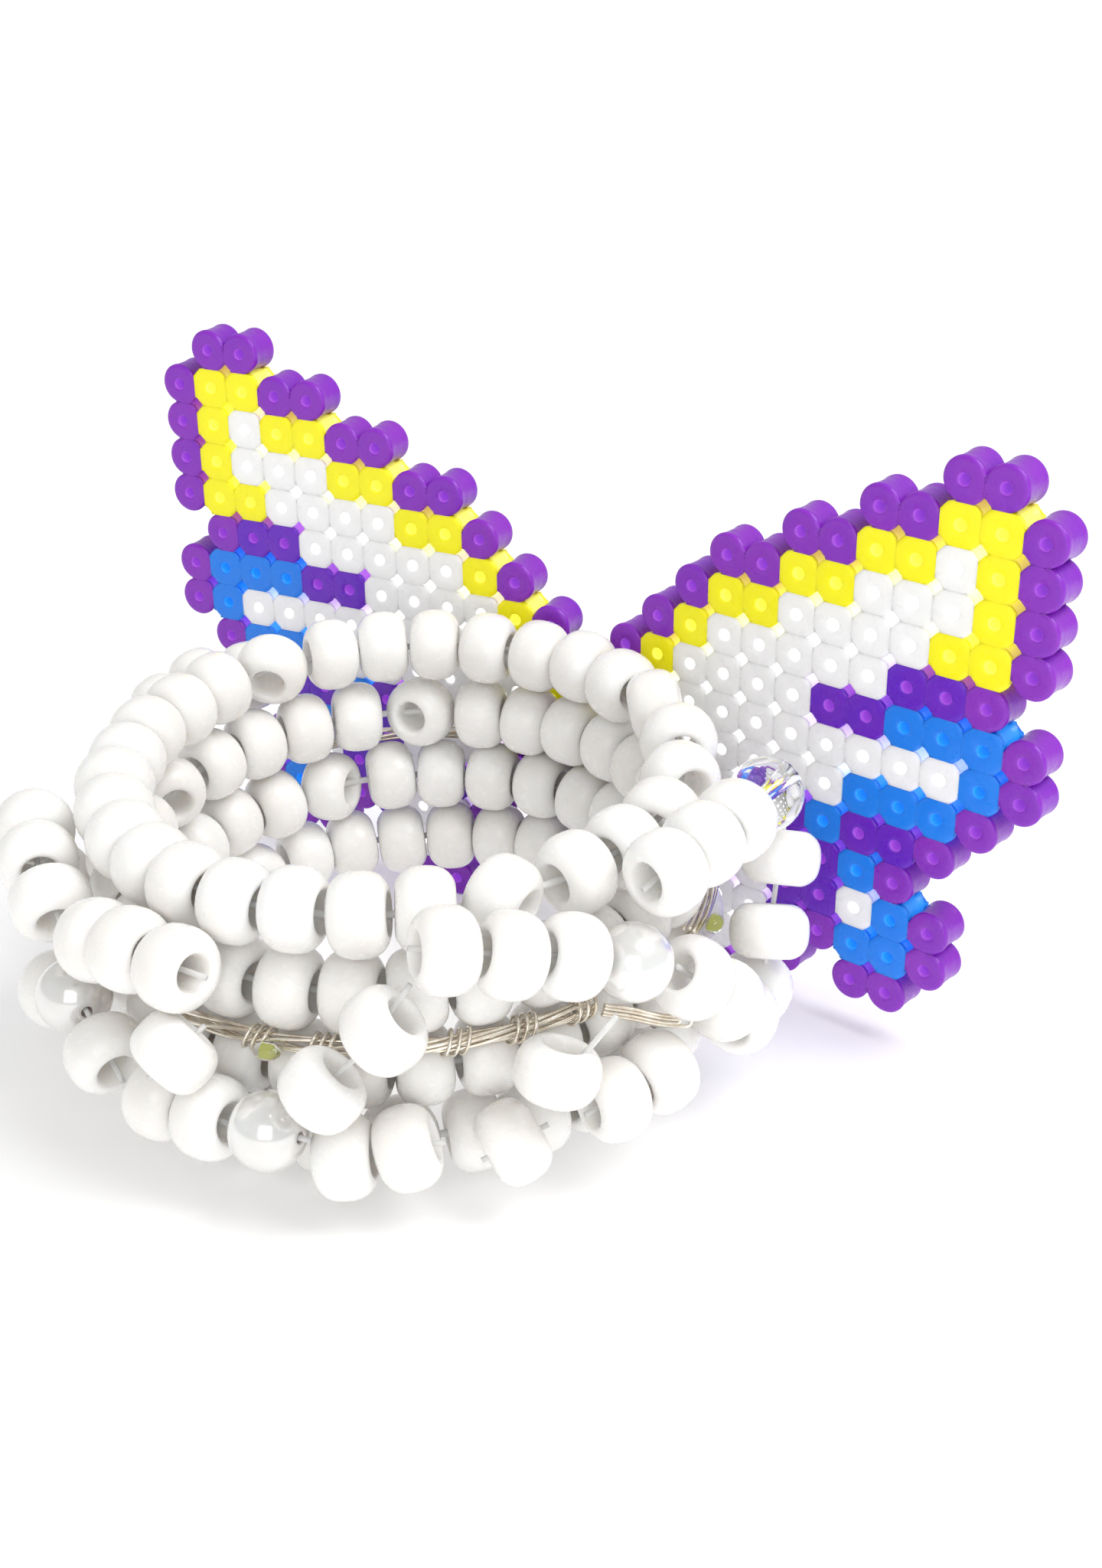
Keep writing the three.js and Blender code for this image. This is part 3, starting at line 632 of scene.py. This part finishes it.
def build_folded_loop():
    """The bundle's end, bent back on itself as two narrow hairpins."""
    line = smooth_path([outer_point(place) for place in FOLDED_LOOP], 8)
    strands = []
    for spread, trim in HAIRPINS:
        run = line[: len(line) - trim]
        out, back = [], []
        for index, point in enumerate(run):
            after = run[min(index + 1, len(run) - 1)]
            before = run[max(index - 1, 0)]
            side = (after - before).normalized().cross(Vector((0, 0, 1))).cross(after - before).normalized()
            out.append(point + side * spread)
            back.append(point - side * spread)
        tangent = (run[-1] - run[-2]).normalized()
        side = (out[-1] - back[-1]) / 2
        bend = [run[-1] + side * math.cos(a) + tangent * spread * math.sin(a)
                for a in (math.pi * k / 8 for k in range(1, 8))]
        strands.append(swept(out + bend + back[::-1], LOOP_STRAND, 8))
    piece("light_wire_loop_strands", gathered(strands), cuff_frame, champagne, "cuff",
          ["light_wire_loop"])


def build_led(name, degrees):
    stand_off = (BUNDLE_DIAMETER + LED_DIAMETER) / 2 + SNUG
    at = cuff_point(degrees, BUNDLE_HEIGHT, BUNDLE_RADIUS + stand_off)
    outward = outward_at(degrees)
    place = along_frame(at, Vector((-outward.y, outward.x, 0)), outward)
    radius, length = LED_DIAMETER / 2, LED_LENGTH / 2
    steps = 24
    line = [(length * math.sin(math.pi * (s / steps - 0.5)), 0, 0) for s in range(steps + 1)]

    def drop(share):
        return max(math.cos(math.pi * (share - 0.5)), 0.02) ** 0.8

    piece(name + "_drop", put(swept(line, radius, 20, profile=drop), place), cuff_frame, epoxy, "cuff",
          [name])
    inner = CHIP_HALF - CHIP_EDGE
    chip_shape = swept([(x, 0, 0) for x in (-CHIP_HALF, -inner, inner, CHIP_HALF)], CHIP_RADIUS, 4)
    piece(name + "_chip", put(chip_shape, place), cuff_frame, chip, "cuff", smooth=False)


# ---- The butterfly --------------------------------------------------------------------------------------

WING_CHART = [
    ".........PP.",
    ".......PPYYP",
    ".....PPYYWYP",
    "...PPYYWWWYP",
    "..PYYWWWWYYP",
    ".PYWWWWWPPP.",
    "PYWWWWPPBBBP",
    "YWWWWWWWWWBP",
    "YWWWWWWBBBP.",
    "YWWWWPBPPP..",
    "PPWWWPPBP...",
    "..PPWPPWBP..",
    "..PWWPPBBP..",
    "..PWWP.PP...",
    "...PP.......",
]
BODY_ROWS = range(7, 11)
FACE = PANEL_THICKNESS / 2
# Half a bead's section from its middle outwards and then in through its bore: how far along the bead, the
# radius, and how much of FILL is added to the radius where the bead melts into its neighbours all round.
FILL = 0.3
FUSED_HALF = [
    (0.0, 2.5, 0.0), (0.6, 2.5, 0.0), (1.1, 2.52, 0.1), (1.5, 2.58, 0.5), (1.78, 2.62, 0.9), (2.0, 2.6, 1.0),
    (2.14, 2.5, 1.0), (2.23, 2.36, 1.0), (2.28, 2.18, 1.0), (FACE, 1.95, 1.0), (FACE, 1.3, 0.0),
    (2.285, 0.95, 0.0), (2.24, 0.8, 0.0), (2.12, 0.7, 0.0), (1.9, 0.64, 0.0), (1.4, 0.6, 0.0),
    (0.0, 0.6, 0.0),
]
FUSED_PROFILE = FUSED_HALF + [(-along, *rest) for along, *rest in reversed(FUSED_HALF) if along > 0]
BORE_EDGE = 0.75
MELT_EDGE = 1.7  # how far along a bead its melted skin begins
BEAD_SEGMENTS = 48
# RIM_LIT is the rim share of painted light on a panel's edge beads; RIM_SPREAD is a random tone added to
# every bead.
RIM_LIT, RIM_SPREAD = 0.7, 0.15


def fused_bead(near):
    """A fused bead, its bore along Y. near says whether it has a neighbour right, up, left and down: there
    its face runs flat up to the shared plane, and elsewhere its rim is round. With it come the painted glow
    of each vertex, painted light for the bore and the pits between beads, and whether each face is smooth."""
    half = FUSED_PITCH / 2
    verts, glow, shared = [], [], []
    for step in range(BEAD_SEGMENTS):
        turn = 2 * math.pi * step / BEAD_SEGMENTS
        c, s = math.cos(turn), math.sin(turn)
        sides = [(v, has) for v, has in zip((c, s, -c, -s), near) if v > 0.01]
        limit = min((half / v for v, has in sides if has), default=math.inf)
        fill = FILL if all(has for _, has in sides) else 0.0
        for depth, radius, share in FUSED_PROFILE:
            wanted = radius + fill * share
            if wanted > limit and abs(depth) > MELT_EDGE:
                depth = math.copysign(FACE, depth)
            reach = min(wanted, limit)
            verts.append((reach * c, depth, reach * s))
            shared.append(wanted >= limit)
            # Painted glow: the bore and the pits between melted beads are marked to be painted light.
            in_pit = fill > 0 and abs(depth) < MELT_EDGE and radius > BORE_EDGE and not shared[-1]
            glow.append(1.0 if radius < BORE_EDGE or in_pit else 0.0)
    faces = ring_faces(BEAD_SEGMENTS, len(FUSED_PROFILE))
    smooth = [not all(shared[corner] for corner in face) for face in faces]
    return (np.array(verts), faces), glow, smooth


def row_height(row):
    return (len(WING_CHART) - row - 0.5) * FUSED_PITCH


def paint(made, name, values):
    made.data.attributes.new(name, "FLOAT", "POINT").data.foreach_set("value", values)


def fused_pieces(name, beads, place, body, node_name):
    """One piece for each colour of a fused panel. beads maps (column, row) to a colour."""
    known, shapes, rims, painted_glows, smooths = {}, {}, {}, {}, {}
    for (column, row), color in beads.items():
        near = tuple(cell in beads for cell in
                     ((column + 1, row), (column, row - 1), (column - 1, row), (column, row + 1)))
        if near not in known:
            known[near] = fused_bead(near)
        shape, glow, smooth = known[near]
        at = Matrix.Translation((column * FUSED_PITCH, 0, row_height(row)))
        # Edge beads get a large rim share of painted light; the small random part is tone.
        rim = (0 if all(near) else RIM_LIT) + rng.uniform(0, RIM_SPREAD)
        shapes.setdefault(color, []).append(put(shape, at))
        rims.setdefault(color, []).extend([rim] * len(glow))
        painted_glows.setdefault(color, []).extend(glow)
        smooths.setdefault(color, []).extend(smooth)
    for color, some in shapes.items():
        word, material = FUSED[color]
        made = piece(f"{name}_{word}", gathered(some), place, material, body, [node_name])
        # The bore mask carries the painted glow of bores and pits; the rim mask carries the painted rim light
        # and a random tone.
        paint(made, "bore", painted_glows[color])
        paint(made, "rim_light_and_tone", rims[color])
        made.data.polygons.foreach_set("use_smooth", smooths[color])
        made.data.update()


TIE_STEPS, TIE_SQUARENESS = 64, 8
TIE_ELASTIC = 0.9 * CORD_RADIUS


def build_butterfly():
    middle = butterfly_frame @ Matrix.Translation((0, PANEL_THICKNESS / 2, 0))
    fused_pieces("body", {(0, row): "P" for row in BODY_ROWS}, middle, "cuff", "butterfly_body")
    hinge = (FUSED_PITCH + HINGE_GAP) / 2
    for name, side in (("right_wing", 1), ("left_wing", -1)):
        beads = {
            (side * column, row): color
            for row, line in enumerate(WING_CHART)
            for column, color in enumerate(line)
            if color != "."
        }
        place = (butterfly_frame @ Matrix.Translation((side * hinge, PANEL_THICKNESS / 2, 0))
                 @ Matrix.Rotation(-side * WING_BEND, 4, "Z") @ Matrix.Translation((side * hinge, 0, 0)))
        fused_pieces(name, beads, place, name, name)
    waist = FUSED_PITCH / 2 * math.tan(math.pi / 8)
    tie_x, tie_y = waist + CORD_RADIUS + SNUG, PANEL_THICKNESS / 2 + CORD_RADIUS + SNUG
    for name, row in (("body_tie_upper", 8), ("body_tie_lower", 9)):
        loop = []
        for step in range(TIE_STEPS):
            turn = 2 * math.pi * step / TIE_STEPS
            c, s = math.cos(turn), math.sin(turn)
            flat = (abs(c) ** TIE_SQUARENESS + abs(s) ** TIE_SQUARENESS) ** (-1 / TIE_SQUARENESS)
            loop.append((tie_x * c * flat, tie_y * s * flat, 0))
        place = middle @ Matrix.Translation((0, 0, row_height(row) - FUSED_PITCH / 2))
        cord = swept(loop, TIE_ELASTIC, 12, closed=True)
        piece(name + "_cord", cord, place, elastic, "cuff", [name])


# ---- The battery case -----------------------------------------------------------------------------------

LEAD_ROUTE = [
    (0, 9.6, 5.2), (0, 9.3, 3.4), (-0.4, 7.5, 2.4), (-0.7, 5.2, 3.6), (-1, 3.2, 7.2), (-1, 2, 11),
    (-1, 0.9, 14.5), (-1, -0.3, 18), (-1, -0.9, 20.5), (-1, -1.5, 22.8), (-1, -1.8, 25.8),
]
LEAD_ORBIT, LEAD_STRAND, LEAD_TWIST = 0.2, 0.19, 0.35


def finish_node(name, material, width=0.25):
    """A carried-over CAD piece: eased edges and its own material."""
    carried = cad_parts[name]
    carried.data.materials.clear()
    carried.data.materials.append(material)
    ease = carried.modifiers.new("eased", "BEVEL")
    ease.width = width * MM
    ease.segments = 3
    ease.limit_method = "ANGLE"
    ease.angle_limit = math.radians(35)


def build_case():
    for name in ("case_shell", "case_cover", "switch_slider"):
        finish_node(name, casing)
    for name in ("foam_pad_1", "foam_pad_2"):
        finish_node(name, foam, 0.15)
    for name in ("coin_cell_1", "coin_cell_2"):
        finish_node(name, steel)
    line = smooth_path(LEAD_ROUTE, 10)
    strands = []
    for strand in (0, math.pi):
        path = []
        for index, point in enumerate(line):
            tangent = (line[min(index + 1, len(line) - 1)] - line[max(index - 1, 0)]).normalized()
            side = tangent.cross(Vector((1, 0, 0))).normalized()
            turn = index * LEAD_TWIST + strand
            path.append(point + (side * math.cos(turn) + tangent.cross(side) * math.sin(turn)) * LEAD_ORBIT)
        strands.append(swept(path, LEAD_STRAND, 8))
    piece("light_lead_strands", gathered(strands), butterfly_frame, champagne, "cuff",
          ["light_lead"])


# ---- Floor, light and camera ----------------------------------------------------------------------------


# The lens in millimetres, and the camera's turn about the object, its rise and its roll in degrees. Its
# place is in the stand's frame.
LENS, CAMERA_TURN, CAMERA_RISE, CAMERA_ROLL = 46.53, 32.84, 22.07, 2.24
CAMERA_PLACE = (128.46, -209.85, 120.4)
FLOOR_REACH = 25
AIM = Vector((0, 0, 0.03))
# Each lamp's name, place, width and power, in metres and watts.
LAMPS = [("key", (0.3, 0.02, 0.5), 0.32, 1.8), ("front", (0.3, -0.5, 0.28), 0.4, 0.85)]


def build_stage():
    floor_mesh = bpy.data.meshes.new("floor")
    corners = [(-1, -1), (1, -1), (1, 1), (-1, 1)]
    floor_mesh.from_pydata([(x * FLOOR_REACH, y * FLOOR_REACH, 0) for x, y in corners], [], [(0, 1, 2, 3)])
    floor = bpy.data.objects.new("floor", floor_mesh)
    bpy.context.scene.collection.objects.link(floor)
    material, shader = new_material("pale_floor", (0.93, 0.93, 0.93), 0.7)
    shader.inputs["Emission Color"].default_value = (1, 1, 1, 1)
    place = node(material, "ShaderNodeTexCoord")
    distance = node(material, "ShaderNodeVectorMath", operation="LENGTH")
    link(material, place, "Object", distance, 0)
    glow = node(material, "ShaderNodeMapRange")
    for socket, value in (("From Min", 0.1), ("From Max", 0.7), ("To Min", 0.18), ("To Max", 0.46)):
        glow.inputs[socket].default_value = value
    link(material, distance, "Value", glow, "Value")
    link(material, glow, "Result", shader, "Emission Strength")
    floor_mesh.materials.append(material)
    world = bpy.data.worlds.new("studio")
    world.use_nodes = True
    world.node_tree.nodes["Background"].inputs["Color"].default_value = (1, 1, 1, 1)
    world.node_tree.nodes["Background"].inputs["Strength"].default_value = 0.62
    bpy.context.scene.world = world
    for name, place, side, power in LAMPS:
        data = bpy.data.lights.new(name, "AREA")
        data.size = side
        data.energy = power
        lamp = bpy.data.objects.new(name, data)
        lamp.location = place
        lamp.rotation_euler = (AIM - Vector(place)).to_track_quat("-Z", "Y").to_euler()
        bpy.context.scene.collection.objects.link(lamp)


def build_camera():
    data = bpy.data.cameras.new("camera")
    data.sensor_width = 36
    data.lens = LENS
    data.clip_start = 0.01
    camera = bpy.data.objects.new("camera", data)
    turn = Matrix.Rotation(math.radians(CAMERA_TURN), 4, "Z")
    turn @= Matrix.Rotation(math.radians(90 - CAMERA_RISE), 4, "X")
    turn @= Matrix.Rotation(math.radians(CAMERA_ROLL), 4, "Z")
    turn.translation = (stand @ Vector(CAMERA_PLACE)) * MM
    camera.matrix_world = turn
    bpy.context.scene.collection.objects.link(camera)
    bpy.context.scene.camera = camera


build_camera()
build_rings()
build_outer_layer()
build_wire()
build_butterfly()
build_case()
build_stage()
bpy.context.scene.view_settings.view_transform = "Standard"
